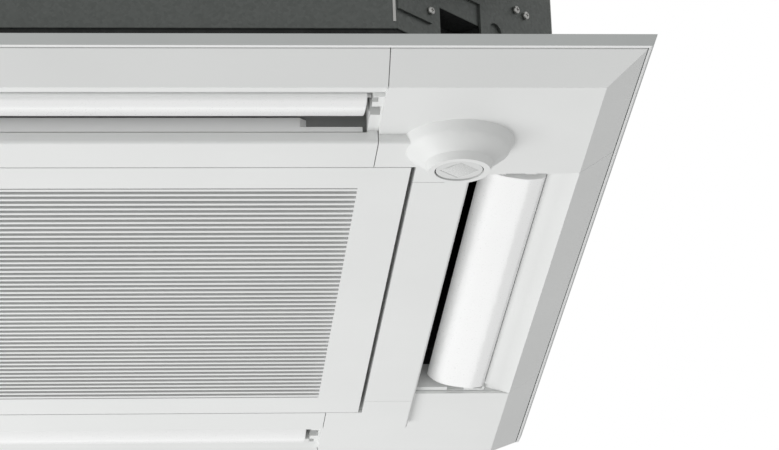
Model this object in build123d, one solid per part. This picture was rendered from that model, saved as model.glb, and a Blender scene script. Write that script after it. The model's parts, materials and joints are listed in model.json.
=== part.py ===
from build123d import *
import math
import os

# Four-way ceiling cassette air conditioner, seen in its hung position. Millimetres, +Z up.
# Heights in this file are measured from the ceiling face (the top of the panel's rim).
# The written parts are lowered by bracket_height, so that their origin is the centre of the
# suspension slots, on the underside of the hanging brackets.

# ---- driving dimensions ----
panel_size = 950.0              # panel, over the rim
panel_overlap = 55.0            # how far the panel reaches past the body on each side
bracket_height = 120.0          # bracket underside above the ceiling face
body_bottom = 30.0              # lower edge of the steel skirt above the ceiling
body_top = 270.0                # top of the body above the ceiling
corner_cut = 142.0              # how much of a body side each chamfer takes
suspension_setback_x = 30.0     # suspension slots, in from the body's sides along X
suspension_setback_y = 65.0     # and along Y
steel = 1.2
foam = 8.0

# ---- panel ----
rim_drop = 8.3                  # height of the grey band
rim_taper = 4.0                 # how far the band leans in over its height
bead_width = 2.4
bead_drop = 0.9
rim_flange_width = 43.0
rim_flange_thickness = 3.0
rim_groove = 1.0                # dark groove between bead and bevel
bevel_top_z = -9.6
bevel_width = 29.2
flat_z = -29.3                  # level of the panel's outer flat
strip_width = 24.2              # sloping strip between the bevel and an outlet
strip_inner_z = -22.6
outlet_width = 66.7             # from the strip to the wall of the raised centre
plateau_z = -36.9               # level of the raised centre
plateau_wall_top_z = -27.6
plateau_radius = 6.0
plateau_edge_radius = 2.5
plateau_border = 50.6           # from the edge of the raised centre to the grille door
panel_wall = 3.0
cover_play = 0.2                # between the corner covers and the frame under them
deck_play = 0.2                 # between the frame's deck and the rim's flange
seam_gap = 0.8                  # open seam round each corner cover
outlet_lip = 8.4                # lip between an outlet's end and the cover's seam
cover_step = 1.0                # the seam stands back this much more on the bevel
oblique_start = 9.3             # the seam's oblique run: from the strip's inner edge
oblique_end = 1.4               # to the bevel's lower edge

# ---- outlets and vanes ----
outlet_end_margin = 217.4       # from the panel's edge to the end of an outlet
duct_setback = 6.5              # the duct's inner wall behind the wall of the raised centre
ledge_setback = 1.0
ledge_end_margin = 53.6
ledge_top_z = -14.5
sill_top_z = -22.4              # the sill under the ledge
sill_groove = 1.0               # open groove between the sill and the raised centre's wall
sill_end_gap = 3.5
vane_end_gap = 4.6
vane_side_gap = 1.0             # between the strip's edge and the vane
vane_depth = 53.7
vane_section = ((0.0, -14.2), (7.5, -21.6), (20.5, -26.4), (36.0, -28.8), (49.5, -28.0))
                                # the vane's skin: distance from its inner edge, and height
vane_inner_slope = 1.6          # how steeply the skin falls at its inner edge
vane_outer_slope = 0.12         # and how it rises before its outer edge
vane_edge_z = -21.4             # top of the vane's outer edge
vane_thickness = 3.0
vane_steps = 8                  # points that carry the skin to its inside
arm_thickness = 3.0
pivot_setback = 26.2            # vane pivot from the vane's outer edge
pivot_z = -11.5
pin_radius = 3.0
pin_clearance = 0.06            # running clearance of every pin, on the radius
bearing_depth = 5.0
bearing_half_width = 14.0
notch_depth = 7.7
notch_width = 16.0
strip_notch_setback = 1.7       # small notch in an outlet's end, from the strip's edge
strip_notch_width = 8.5
strip_notch_depth = 4.5
motor_radius = 11.0
motor_length = 18.0
motor_plate = 2.0
motor_plug = 5.0                # how far the motor's plug stands out of its can

# ---- grille door ----
grille_gap = 1.6
grille_hinge_gap = 3.9
grille_skin = 3.0
grille_bar_depth = 8.0
grille_frame = 40.4             # plain border of the door beside the slots' ends
slot_end_margin = 40.0          # least plain border above and below the slots
slot_pitch = 10.0
slot_width = 5.8
thin_slot = 2.4                 # the slot beyond each end of the field
slot_rib_count = 5
grille_margin = 3.0
skirt_wall = 2.5
recess_lip = 12.6               # how far the recess floor reaches in under the door
recess_top_z = -21.5
hinge_inset = 4.1               # hinge axis from the door's edge
hinge_z = -32.0
hinge_end_inset = 107.6         # hinges from the door's corners
hinge_pin_radius = 1.6
ear_width = 6.0
ear_wall = 1.6
lug_width = 6.0
hinge_side_play = 0.5
latch_end_inset = 117.6         # latches from the door's corners
latch_travel = 7.0
latch_width = 16.0
latch_play = 0.6
latch_inset = 9.0               # window of a latch's knob, from the door's edge
rail_gap = 0.4                  # between a latch and its rails
rail_wall = 2.0
grip_half_length = 4.0
knob_length = 20.0
knob_border = 2.0
tongue_thickness = 2.5
filter_bar = 9.0
filter_thickness = 4.0
filter_mesh_thickness = 1.2

# ---- occupancy sensor ----
sensor_inset_x = 143.2          # sensor from the panel's edges
sensor_inset_y = 143.0
boss_tiers = ((46.0, 0.0), (41.0, 9.1), (27.5, 19.2), (25.0, 25.5))  # radius, depth below the flat
boss_wall = 4.0
sensor_radius = 18.9
sensor_recess = 0.9
sensor_gap = 1.1
sensor_thickness = 4.0
sensor_shaft_radius = 4.0
sensor_window = 22.0
sensor_motor_radius = 13.0
sensor_motor_height = 14.0
sensor_wing_reach = 24.0
sensor_wing_width = 8.0
sensor_wing_thickness = 1.5

# ---- inside of the body ----
seal_overhang = 4.0             # how far the seal stands out past the body
seal_width = 20.0
pan_bottom_z = 12.0
pan_top_z = 88.0
pan_side_gap = 0.5
pan_wall = 5.0
duct_edge = 2.0                 # from the seal's inner edge to the pan's ducts
duct_width = 52.0
duct_end_gap = 3.0              # a pan duct is this much shorter than the outlet at each end
trough_width = 64.0             # from a pan duct to the pan's middle opening
trough_z = 50.0
coil_setback = 8.0              # heat exchanger from the pan's middle opening
coil_depth = 38.0
coil_bend = 20.0
coil_bottom_z = 58.0
coil_top_z = 250.0
coil_corner_gap = 79.0          # the coil leaves the piping corner free by this much
fin_pitch = 15.0
fin_thickness = 1.2
tube_radius = 4.76
tube_wall = 0.7
tube_levels = 8
tube_rows = 2
fan_radius = 225.0
fan_eye_radius = 170.0
fan_bottom_z = 52.0
fan_plate_z = 184.0
fan_wall = 3.0
fan_neck_rise = 14.0            # the fan ring's neck, then its cone
fan_cone_rise = 20.0
blade_count = 7
blade_overlap = 12.0            # how far the blades reach in past the eye
blade_tip_gap = 4.0
blade_sweep = 38.0              # degrees from a blade's root to its tip
blade_thickness = 2.8
hub_radius = 40.0
hub_height = 60.0
shaft_radius = 6.0
shaft_nut_radius = 11.0
shaft_nut_height = 8.0
fan_motor_radius = 62.0
fan_motor_bottom_z = 194.0
motor_nose_radius = 22.0
motor_leg_reach = 120.0
motor_leg_lap = 15.0            # how far a leg reaches in over the motor's can
motor_leg_foot = 16.0
motor_leg_width = 28.0
motor_leg_height = 8.0
motor_leg_thickness = 3.0
bell_side_gap = 3.0
bell_plate_z = 30.0
throat_gap = 10.0               # from the bellmouth's throat to the fan's eye
bell_throat_top_z = 66.0
bell_flange = 17.0
insulation_gap = 1.0

top_bead_radius = 150.0         # pressed ring in the top plate
top_bead_width = 8.0
top_bead_rise = 3.0

# ---- brackets ----
bracket_sheet = 2.5
bracket_reach = (-96.0, 73.0)   # back plate, from and to along the chamfer
foot_reach = 58.0
foot_half_width = 50.0
suspension_slot_length = 30.0
suspension_slot_width = 12.0
bracket_top = 45.0              # bracket's back plate above its underside plane
bracket_plate_bottom_z = 85.0
tab_bottom_z = 47.0
tab_width = 41.0
tab_overhang = 4.0              # how far the tab stands out past the back plate
lug_bottom_rise = 3.0           # lug above the body's lower edge
bracket_lug_width = 70.0
bracket_hole = (22.0, 66.0, 8.0)  # along the chamfer, height, radius
bracket_screws = ((49.0, 95.0), (61.5, 94.0), (-70.0, 108.0), (-62.0, 57.0))
screw_radius = 4.0
screw_head = 3.0
corner_pocket = (-46.0, 5.0, 66.5)  # along the chamfer from, to, and its top height
corner_pocket_depth = 24.0

# ---- pipes and services ----
liquid_radius = 4.76
gas_radius = 7.94
drain_radius = 16.0
drain_wall = 3.0
drain_flange = 9.0
pipe_reach = 46.0               # how far the pipe ends stand out of the body
pipe_z = 196.0
drain_z = 150.0
gland_z = 200.0
liquid_inset = 218.0            # the pipes, from the far end of the left side plate
gas_inset = 168.0
drain_inset = 158.0             # drain and gland, from its near end
gland_inset = 58.0
gland_bore = 5.0
gland_radius = 11.3
gland_nut_radius = 15.0
gland_nut_length = 6.0
gland_dome_radius = 10.0
gland_dome_length = 18.0
gland_play = 0.2
pipe_wall = 0.8
pipe_hole_play = 0.3
union_wall = 3.2                # brass of the flare union round its pipe
union_length = 16.0
nut_wall = 3.4
nut_neck = 7.0
nut_overlap = 13.0              # length of the nut that is screwed over the union
nut_play = 0.1
window_margin_y = 40.0          # opening in the body, round the two pipes
window_margin_z = 28.0
plate_margin = 8.0              # pipe plate round that opening
control_box_length = 360.0
control_box_width = 64.0
control_box_height = 45.0
control_box_gap = 7.0           # from the bellmouth's side wall
board_margin = 8.0
board_standoff = 6.4
board_thickness = 1.6
capacitor_radius = 7.0
capacitor_height = 18.5
capacitor_pitch = 26.0
relay_length = 24.0
relay_width = 16.0
relay_height = 12.5
relay_pitch = 50.0
terminal_length = 66.0
terminal_height = 14.0
terminal_pitch = 12.0
pump_inset = 108.0              # pump from the body's sides
pump_bottom_z = 62.0
volute_radius = 18.0
volute_height = 27.0
pump_neck_radius = 9.0
pump_neck_height = 8.0
pump_can_radius = 17.0
pump_can_height = 60.0
pump_wall = 3.5
pump_shaft_radius = 2.5
impeller_radius = 13.0
impeller_gap = 2.0
impeller_blade_height = 10.0
float_spacing = 36.0            # float from the pump
float_stem_radius = 3.0
float_radius = 10.0
float_bottom_z = 59.0
float_height = 16.0
float_arm_rise = 39.0
panel_screw_inset = 32.4        # panel screws past the end of an outlet
panel_screw_setback = 39.2      # and in from the strip's inner edge
panel_screw_radius = 2.5
panel_screw_seat_z = -11.0
panel_screw_head = 4.0
tower_radius = 9.0
tower_bore = 6.6

# ---- worked out ----
half_panel = panel_size / 2
half_body = half_panel - panel_overlap
body_corner = half_body - corner_cut
suspension_x = 2 * (half_body - suspension_setback_x)
suspension_y = 2 * (half_body - suspension_setback_y)
band_foot = half_panel - rim_taper
bead_foot = band_foot - bead_width
bevel_outer = bead_foot - rim_groove
bevel_inner = bevel_outer - bevel_width
strip_inner = bevel_inner - strip_width
plateau = strip_inner - outlet_width
half_grille = plateau - plateau_border
flange_inner = half_panel - rim_flange_width
half_outlet = half_panel - outlet_end_margin
cover_split = half_outlet + outlet_lip
cover_split_bevel = cover_split + cover_step
cover_oblique_start = strip_inner + oblique_start
cover_oblique_end = bevel_inner - oblique_end
outlet_inner = plateau - duct_setback
ledge_front = plateau - ledge_setback
ledge_half_length = half_outlet - ledge_end_margin
sill_half_length = half_outlet - sill_end_gap
half_vane = half_outlet - vane_end_gap
vane_outer = strip_inner - vane_side_gap
vane_inner = vane_outer - vane_depth
pivot_distance = vane_outer - pivot_setback
bearing_end = half_outlet + notch_depth + bearing_depth
cover_seat = panel_wall + cover_play
lip_z = flat_z + cover_seat
outlet_wall_end = half_outlet + strip_notch_depth + panel_wall
boss_radius = boss_tiers[0][0]
boss_bottom_z = flat_z - boss_tiers[-1][1]
sensor_motor_z = flat_z + 2 * cover_seat
sensor_x = half_panel - sensor_inset_x
sensor_y = -half_panel + sensor_inset_y
recess = half_grille + grille_gap
recess_hinge = half_grille + grille_hinge_gap
recess_floor = half_grille - recess_lip
skin_top_z = plateau_z + grille_skin
bars_top_z = plateau_z + grille_bar_depth
slot_half_length = half_grille - grille_frame
slot_count = 2 * int((half_grille - slot_end_margin) / slot_pitch)
thin_slot_start = ((slot_count + 1) * slot_pitch - slot_width) / 2
slot_field = 2 * (thin_slot_start + thin_slot)
filter_half = slot_half_length
hinge_x = half_grille - hinge_inset
hinge_y = half_grille - hinge_end_inset
latch_y = half_grille - latch_end_inset
bevel_rise = bevel_top_z - flat_z
bevel_length = math.hypot(bevel_width, bevel_rise)
chamfer_distance = (half_body + body_corner) / math.sqrt(2)
plate_mitre = steel * math.tan(math.radians(22.5))
seal_outer = half_body + seal_overhang
seal_inner = seal_outer - seal_width
pan_duct_outer = seal_inner - duct_edge
pan_duct_inner = pan_duct_outer - duct_width
half_pan_duct = half_outlet - duct_end_gap
pan_opening = pan_duct_inner - trough_width
coil_inner = pan_opening + coil_setback
coil_outer = coil_inner + coil_depth
coil_open_corner = coil_inner - coil_corner_gap
bell_half = pan_opening - bell_side_gap
bell_throat = fan_eye_radius - throat_gap
pipe_end = half_body + pipe_reach
pump_x = -(half_body - pump_inset)
pump_y = half_body - pump_inset
float_x = pump_x + float_spacing
float_y = pump_y
screw_x = half_outlet + panel_screw_inset
screw_y = -(strip_inner - panel_screw_setback)
liquid_place = (body_corner - liquid_inset, pipe_z)     # along Y and height
gas_place = (body_corner - gas_inset, pipe_z)
drain_place = (drain_inset - body_corner, drain_z)
gland_place = (gland_inset - body_corner, gland_z)
window = (liquid_place[0] - window_margin_y, gas_place[0] + window_margin_y,
          liquid_place[1] - window_margin_z, liquid_place[1] + window_margin_z)
box_y1 = bell_half - control_box_gap
box_y0 = box_y1 - control_box_width
box_x = control_box_length / 2
box_z0 = bell_plate_z - control_box_height
far_out = half_panel + 125      # reaches past the whole panel, for cutting tools

sides = ["near", "right", "far", "left"]
corners = ["near_right", "far_right", "far_left", "near_left"]


def block(x0, x1, y0, y1, z0, z1):
    return Pos((x0 + x1) / 2, (y0 + y1) / 2, (z0 + z1) / 2) * Box(x1 - x0, y1 - y0, z1 - z0)


def slab(half, z0, z1):
    return block(-half, half, -half, half, z0, z1)


def frustum(half0, z0, half1, z1):
    low = Pos(0, 0, z0) * Rectangle(2 * half0, 2 * half0)
    high = Pos(0, 0, z1) * Rectangle(2 * half1, 2 * half1)
    return loft(Sketch() + [low, high])


def rod(x, y, radius, z0, z1):
    return Pos(x, y, (z0 + z1) / 2) * Cylinder(radius, z1 - z0)


def rod_x(y, z, radius, x0, x1):
    return Pos((x0 + x1) / 2, y, z) * Rot(0, 90, 0) * Cylinder(radius, x1 - x0)


def rod_y(x, z, radius, y0, y1):
    return Pos(x, (y0 + y1) / 2, z) * Rot(90, 0, 0) * Cylinder(radius, y1 - y0)


def octagon(flat, corner, z0, z1):
    points = []
    for x, y in [(corner, -flat), (flat, -corner), (flat, corner), (corner, flat)]:
        points.append((x, y))
    for x, y in list(points):
        points.append((-x, -y))
    face = make_face(Polyline(*points, close=True))
    return Pos(0, 0, z0) * extrude(face, amount=z1 - z0, dir=(0, 0, 1))


def body_octagon(inset, z0, z1):
    # the inset keeps the same wall on the flats and on the chamfers
    flat = half_body - inset
    reach = chamfer_distance - inset
    return octagon(flat, reach * math.sqrt(2) - flat, z0, z1)


def plan_prism(points, z0, z1):
    face = make_face(Polyline(*points, close=True))
    return Pos(0, 0, z0) * extrude(face, amount=z1 - z0, dir=(0, 0, 1))


def section_prism(points, x0, x1):
    # a closed outline in (y, z), run along X
    face = make_face(Polyline(*[(0, y, z) for y, z in points], close=True))
    return Pos(x0, 0, 0) * extrude(face, amount=x1 - x0, dir=(1, 0, 0))


def turned(shape, side):
    # side 0 is the near side (-Y), then right, far and left
    return Rot(0, 0, 90 * side) * shape


def on_chamfer(shape, corner):
    # a shape drawn against the plane y = -chamfer_distance, moved to a chamfer
    return Rot(0, 0, 45 + 90 * corner) * shape


def write(name, shape):
    export_step(Pos(0, 0, -bracket_height) * shape, f"parts/{name}.step")


# ---- panel ----

def panel_mass(inset):
    # everything inside the panel's visible skin, with the skin moved in by inset
    side_shift = inset * bevel_length / bevel_rise
    low_z = flat_z + inset
    low_half = bevel_inner + inset * bevel_width / bevel_rise - side_shift
    bevel = frustum(low_half, low_z, bevel_outer - side_shift, bevel_top_z)
    skirt = slab(bevel_outer - side_shift, bevel_top_z, -rim_flange_thickness)
    centre = slab(plateau - inset, plateau_z + inset, flat_z + inset + 1)
    centre = fillet(centre.edges().filter_by(Axis.Z), plateau_radius - inset / 2)
    if inset == 0:
        centre = fillet(centre.edges().group_by(Axis.Z)[0], plateau_edge_radius)
    return bevel + skirt + centre


def cover_outline(grow):
    # plan of one corner cover, in the +X +Y corner; grow moves its seams towards the outlets
    edge = cover_split - grow
    bevel_edge = cover_split_bevel - grow
    return [(edge, recess), (edge, cover_oblique_start), (bevel_edge, cover_oblique_end),
            (bevel_edge, far_out), (far_out, far_out), (far_out, bevel_edge),
            (cover_oblique_end, bevel_edge), (cover_oblique_start, edge), (recess, edge)]


def corner_prism(grow, corner):
    points = cover_outline(grow)
    if grow <= 0:
        points.append((recess, recess))
    else:
        points.append((recess - far_out / 2, recess - far_out / 2))
    return Rot(0, 0, 90 * (corner - 1)) * plan_prism(points, boss_bottom_z - 10, 10)


def door_recess():
    # the hinge side has the wider gap
    return block(-recess, recess_hinge, -recess, recess, plateau_z - 1, recess_top_z)


def strip_wedge():
    # takes the flat down to the sloping strip beside an outlet
    low_z = flat_z - 5
    points = [(-bevel_inner, flat_z), (-strip_inner, strip_inner_z), (-strip_inner, low_z),
              (-bevel_inner, low_z)]
    return section_prism(points, -cover_split_bevel, cover_split_bevel)


def outlet_cut():
    wide = block(-half_outlet, half_outlet, -strip_inner, -plateau, plateau_z - 1, 1)
    deep = block(-half_outlet, half_outlet, -plateau, -outlet_inner, plateau_wall_top_z, 1)
    step = block(-cover_split, cover_split, -strip_inner, -plateau, plateau_z - 1, lip_z)
    return wide + deep + step


def duct_ledge():
    # a sill along the duct's inner wall, and a shorter ledge with chamfered ends on it
    back = outlet_inner - 1
    sill = block(-sill_half_length, sill_half_length, -ledge_front, -back,
                 plateau_wall_top_z + sill_groove, sill_top_z)
    reach = ledge_half_length + ledge_front - back
    points = [(-ledge_half_length, -ledge_front), (ledge_half_length, -ledge_front),
              (reach, -back), (-reach, -back)]
    return sill + plan_prism(points, sill_top_z, ledge_top_z)


def end_block(end, x0, x1, y0, y1, z0, z1):
    # a block at one end of an outlet, its X counted outwards from the middle
    return block(min(end * x0, end * x1), max(end * x0, end * x1), y0, y1, z0, z1)


def end_notches():
    # one notch for the vane's bearing and a small one at the strip, in both ends of an outlet
    notches = []
    start = half_outlet - 1
    strip_notch = strip_inner - strip_notch_setback
    for end in (-1, 1):
        notches.append(end_block(end, start, half_outlet + notch_depth, -pivot_distance - notch_width / 2,
                                 -pivot_distance + notch_width / 2, plateau_z, pivot_z + notch_width / 2))
        notches.append(end_block(end, start, half_outlet + strip_notch_depth, -strip_notch,
                                 -strip_notch + strip_notch_width, plateau_z, strip_inner_z + panel_wall))
    return notches


def bearing_block(end):
    return end_block(end, half_outlet, bearing_end, -pivot_distance - bearing_half_width,
                     -pivot_distance + bearing_half_width, flat_z + cover_seat, -rim_flange_thickness)


def make_panel_frame():
    frame = panel_mass(0)
    seat = panel_mass(cover_seat)
    cavity = panel_mass(panel_wall)
    deep_cavity = panel_mass(2 * cover_seat)
    for corner in range(4):
        prism = corner_prism(0, corner)
        frame = frame - prism + (seat & prism)
        cavity = cavity - corner_prism(panel_wall, corner)
    for corner in range(4):
        cavity = cavity + (deep_cavity & corner_prism(-panel_wall, corner))
    keep = [slab(recess_hinge + panel_wall, plateau_z, 5)]
    for side in range(4):
        walls = block(-outlet_wall_end, outlet_wall_end, -strip_inner - panel_wall,
                      -outlet_inner + panel_wall, plateau_z, 5)
        keep.append(turned(walls, side))
        lip = block(-cover_split - panel_wall, cover_split + panel_wall, -strip_inner - panel_wall,
                    -plateau + panel_wall, plateau_z, lip_z + panel_wall)
        keep.append(turned(lip, side))
        keep.append(turned(block(-cover_split_bevel, cover_split_bevel, -bevel_outer, -strip_inner,
                                 flat_z, strip_inner_z + panel_wall), side))
        for end in (-1, 1):
            keep.append(turned(bearing_block(end), side))
    for solid in keep:
        cavity = cavity - solid
    frame = frame - cavity
    deck = slab(flange_inner - deck_play, -rim_flange_thickness, 0)
    frame = frame + (deck - slab(strip_inner, -rim_flange_thickness - 1, 1))
    frame = frame - door_recess() - slab(recess_floor, plateau_z, 1)
    for side in range(4):
        frame = frame - turned(strip_wedge(), side) - turned(outlet_cut(), side)
        frame = frame + turned(duct_ledge(), side)
        for notch in end_notches():
            frame = frame - turned(notch, side)
        bore = rod_x(-pivot_distance, pivot_z, pin_radius + pin_clearance, -bearing_end - 1, bearing_end + 1)
        frame = frame - turned(bore, side)
        tower, well = screw_tower()
        frame = frame + turned(tower, side) - turned(well, side)
    frame = frame + sensor_seat(seat) - sensor_seat_hole()
    for end in (-1, 1):
        frame = frame + hinge_ear(end) - tongue_slot(end)
    return frame


def sensor_seat(seat):
    # a ring on the frame that the sensor's boss slips over and its motor stands on
    ring = rod(sensor_x, sensor_y, boss_radius + cover_seat + 1, plateau_z, sensor_motor_z)
    return (ring & seat) - door_recess()


def sensor_seat_hole():
    seat_z = flat_z + cover_seat
    well = rod(sensor_x, sensor_y, boss_radius + 3 * cover_play, plateau_z - 1, seat_z)
    return well + rod(sensor_x, sensor_y, sensor_shaft_radius + 1, seat_z - 1, sensor_motor_z + 1)


def tongue_slot(end):
    # the pocket in the recess wall that a latch's tongue slides into
    half_slot = latch_width / 2 + latch_play
    return block(-recess - cover_seat - 3, -recess + 1, end * latch_y - half_slot, end * latch_y + half_slot,
                 skin_top_z - latch_play / 2, skin_top_z + tongue_thickness + 2 * latch_play)


def make_panel_rim():
    band = frustum(band_foot, -rim_drop, half_panel, 0)
    bead = frustum(bead_foot, -rim_drop - bead_drop, band_foot, -rim_drop)
    rim = band + bead
    rim = rim - slab(bead_foot, -rim_drop - 5, -rim_flange_thickness)
    return rim - slab(flange_inner, -rim_flange_thickness - 1, 1)


def boss_shape(wall, top_z):
    # cones one below the other, turned about the sensor's axis, with their skin moved in by wall
    points = [(0, 0, boss_bottom_z), (0, 0, top_z), (boss_radius - wall, 0, top_z)]
    for radius, depth in boss_tiers:
        points.append((radius - wall, 0, flat_z - depth))
    boss = revolve(make_face(Polyline(*points, close=True)), Axis.Z)
    return Pos(sensor_x, sensor_y, 0) * boss


def boss_hollow():
    hollow = boss_shape(boss_wall, flat_z + boss_wall)
    room = rod(sensor_x, sensor_y, boss_radius, boss_bottom_z + panel_wall, flat_z + boss_wall)
    mouth = rod(sensor_x, sensor_y, sensor_radius + sensor_gap, boss_bottom_z - 1, flat_z)
    return (hollow & room) + mouth


def make_corner_cover(corner):
    skin = panel_mass(0) - panel_mass(panel_wall)
    cover = skin & corner_prism(-seam_gap, corner)
    if corner == 0:
        cover = cover + boss_shape(0, flat_z + 2) - boss_hollow()
    return cover - door_recess() - slab(bevel_outer + 1, -6.5, 5)


def make_panel_screws():
    head = rod(screw_x, screw_y, 2.4 * panel_screw_radius, panel_screw_seat_z - panel_screw_head,
               panel_screw_seat_z)
    shank = rod(screw_x, screw_y, panel_screw_radius, panel_screw_seat_z, pan_bottom_z + pan_wall + 4)
    return [turned(head + shank, corner) for corner in range(4)]


def screw_tower():
    # a hollow tower on the frame that a panel screw sits in
    skin_z = flat_z + cover_seat
    tower = rod(screw_x, screw_y, tower_radius, skin_z, panel_screw_seat_z + panel_wall)
    well = rod(screw_x, screw_y, tower_bore, skin_z - 1, panel_screw_seat_z)
    return tower, well + rod(screw_x, screw_y, panel_screw_radius + 0.4, skin_z, panel_screw_seat_z + 10)


# ---- vanes ----

def vane_skin():
    # from the inner edge along the skin to the top of the outer edge, in the plane x = 0
    points = [(0, -vane_inner - run, height) for run, height in vane_section]
    face = Spline(*points, tangents=((0, -1, -vane_inner_slope), (0, -1, vane_outer_slope)))
    bend_run = vane_depth - vane_section[-1][0]
    bend_rise = bend_run * math.tan(math.pi / 4 + math.atan(vane_outer_slope) / 2)
    bend_end = (0, -vane_outer, vane_section[-1][1] + bend_rise)
    bend = TangentArc(face @ 1, bend_end, tangent=(0, -1, vane_outer_slope))
    return [face, bend, Line(bend_end, (0, -vane_outer, vane_edge_z))]


def vane_hollow(face):
    # the space above the skin, set in from it by the vane's thickness
    points = []
    for step in range(vane_steps + 1):
        along = face % (step / vane_steps)
        points.append(face @ (step / vane_steps) + Vector(0, along.Z, -along.Y) * vane_thickness)
    inside = Spline(*points)
    first = inside @ 0
    last = inside @ 1
    wall_y = -vane_outer + vane_thickness
    above = Polyline(last, (0, wall_y, last.Z + 1), (0, wall_y, 0), (0, first.Y, 0), first)
    return make_face(Wire([inside, *above.edges()]))


def make_vane():
    # a solid bar of the vane's section, hollowed from above between its end plates
    skin = vane_skin()
    section = make_face(Wire(skin + [Line(skin[-1] @ 1, skin[0] @ 0)]))
    half_hollow = half_vane - arm_thickness
    vane = Pos(-half_vane, 0, 0) * extrude(section, amount=2 * half_vane, dir=(1, 0, 0))
    hollow = extrude(vane_hollow(skin[0]), amount=2 * half_hollow, dir=(1, 0, 0))
    vane = vane - Pos(-half_hollow, 0, 0) * hollow
    for end in (-1, 1):
        vane = vane + vane_arm(end)
    return vane


def vane_arm(end):
    # end arm, its hub and the pivot pin; the pin at the motor's end is the longer one
    hub_radius = 2 * pin_radius
    x0 = end * half_vane
    x1 = end * (half_vane - arm_thickness)
    arm = end_block(end, half_vane - arm_thickness, half_vane, -pivot_distance - hub_radius,
                    -pivot_distance + hub_radius, pivot_z - 2 * hub_radius, pivot_z)
    hub = rod_x(-pivot_distance, pivot_z, hub_radius, min(x0, x1), max(x0, x1))
    tip = end * (bearing_end + motor_plate if end < 0 else bearing_end - 1)
    return arm + hub + rod_x(-pivot_distance, pivot_z, pin_radius, min(x1, tip), max(x1, tip))


def make_vane_motor():
    x0 = -bearing_end
    back = x0 - motor_plate - motor_length
    half_plate = bearing_half_width - 1
    plate = block(x0 - motor_plate, x0, -pivot_distance - half_plate, -pivot_distance + half_plate,
                  pivot_z - 9, pivot_z + 8)
    plate = plate - rod_x(-pivot_distance, pivot_z, pin_radius + 0.4, x0 - motor_plate - 1, x0 + 1)
    can = rod_x(-pivot_distance, pivot_z, motor_radius, back, x0 - motor_plate)
    plug = block(back + 3, x0 - motor_plate - 3, -pivot_distance + motor_radius - 2,
                 -pivot_distance + motor_radius + motor_plug, pivot_z - 4, pivot_z + 4)
    return plate + can + plug


# ---- grille door ----

def hinge_ear(end):
    y0 = end * hinge_y - ear_width / 2
    y1 = end * hinge_y + ear_width / 2
    radius = hinge_pin_radius + ear_wall
    lobe = rod_y(hinge_x, hinge_z, radius, y0, y1)
    neck = block(hinge_x - radius, hinge_x + radius, y0, y1, hinge_z, recess_top_z + 1)
    bore = rod_y(hinge_x, hinge_z, hinge_pin_radius + pin_clearance, y0 - 1, y1 + 1)
    return lobe + neck - bore


def make_grille():
    door = block(-half_grille, half_grille, -half_grille, half_grille, plateau_z, skin_top_z)
    half_field_x = slot_half_length + grille_margin
    half_field_y = slot_field / 2 + grille_margin
    door = door + block(-half_field_x, half_field_x, -half_field_y, half_field_y, skin_top_z, bars_top_z)
    slots = []
    for index in range(slot_count):
        y = (index - (slot_count - 1) / 2) * slot_pitch
        slots.append(block(-slot_half_length, slot_half_length, y - slot_width / 2, y + slot_width / 2,
                           plateau_z - 1, bars_top_z + 1))
    for y0, y1 in ((-slot_field / 2, -thin_slot_start), (thin_slot_start, slot_field / 2)):
        slots.append(block(-slot_half_length, slot_half_length, y0, y1, plateau_z - 1, bars_top_z + 1))
    door = door - slots
    for index in range(slot_rib_count):
        x = (2 * (index + 1) / (slot_rib_count + 1) - 1) * slot_half_length
        door = door + block(x - 1, x + 1, -slot_field / 2, slot_field / 2, bars_top_z - 2, bars_top_z)
    door = door + door_skirt()
    for end in (-1, 1):
        door = door + hinge_lugs(end) - hinge_pocket(end)
        door = door - rod_y(hinge_x, hinge_z, hinge_pin_radius, end * hinge_y - 12, end * hinge_y + 12)
        door = door - latch_window(end) + latch_rails(end) - skirt_notch(end)
    return door


def door_skirt():
    # a low wall round the door's back, kept clear of the hinges
    half = half_grille - grille_margin
    top = recess_top_z - grille_margin
    clear_x = hinge_x - 6.5
    skirt = block(-half, clear_x, -half, half, skin_top_z - 0.5, top)
    return skirt - block(-half + skirt_wall, clear_x - skirt_wall, -half + skirt_wall, half - skirt_wall,
                         skin_top_z - 1, top + 1)


def hinge_pocket(end):
    half_clear = ear_width / 2 + hinge_side_play
    return block(hinge_x - 5.5, half_grille + 1, end * hinge_y - half_clear, end * hinge_y + half_clear,
                 plateau_z + grille_skin / 2, skin_top_z + 6)


def hinge_lugs(end):
    inner = ear_width / 2 + hinge_side_play
    lugs = []
    for side in (-1, 1):
        a = end * hinge_y + side * inner
        b = end * hinge_y + side * (inner + lug_width)
        lugs.append(block(hinge_x - 4, hinge_x + 3, min(a, b), max(a, b), skin_top_z - 0.5,
                          hinge_z + 2 * hinge_pin_radius))
    return lugs


def latch_window(end):
    # the hole in the door's skin that a latch's knob slides in
    x0 = -half_grille + latch_inset
    half_window = latch_width / 2 - knob_border
    x1 = x0 + knob_length + latch_travel + 1
    return block(x0, x1, end * latch_y - half_window, end * latch_y + half_window, plateau_z - 1,
                 skin_top_z + 1)


def latch_rails(end):
    # two hooked rails that hold the latch plate down on the door's back
    rails = []
    x0 = -half_grille + latch_inset - rail_wall
    x1 = x0 + knob_length + latch_travel + 1
    plate_top = skin_top_z + tongue_thickness
    rail_top = plate_top + rail_wall
    for side in (-1, 1):
        wall = end * latch_y + side * (latch_width / 2 + rail_gap)
        outer = wall + side * rail_wall
        hook = wall - side * rail_wall
        rails.append(block(x0, x1, min(wall, outer), max(wall, outer), skin_top_z - 0.5, rail_top))
        rails.append(block(x0, x1, min(hook, outer), max(hook, outer), plate_top + rail_gap, rail_top))
    return rails


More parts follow.
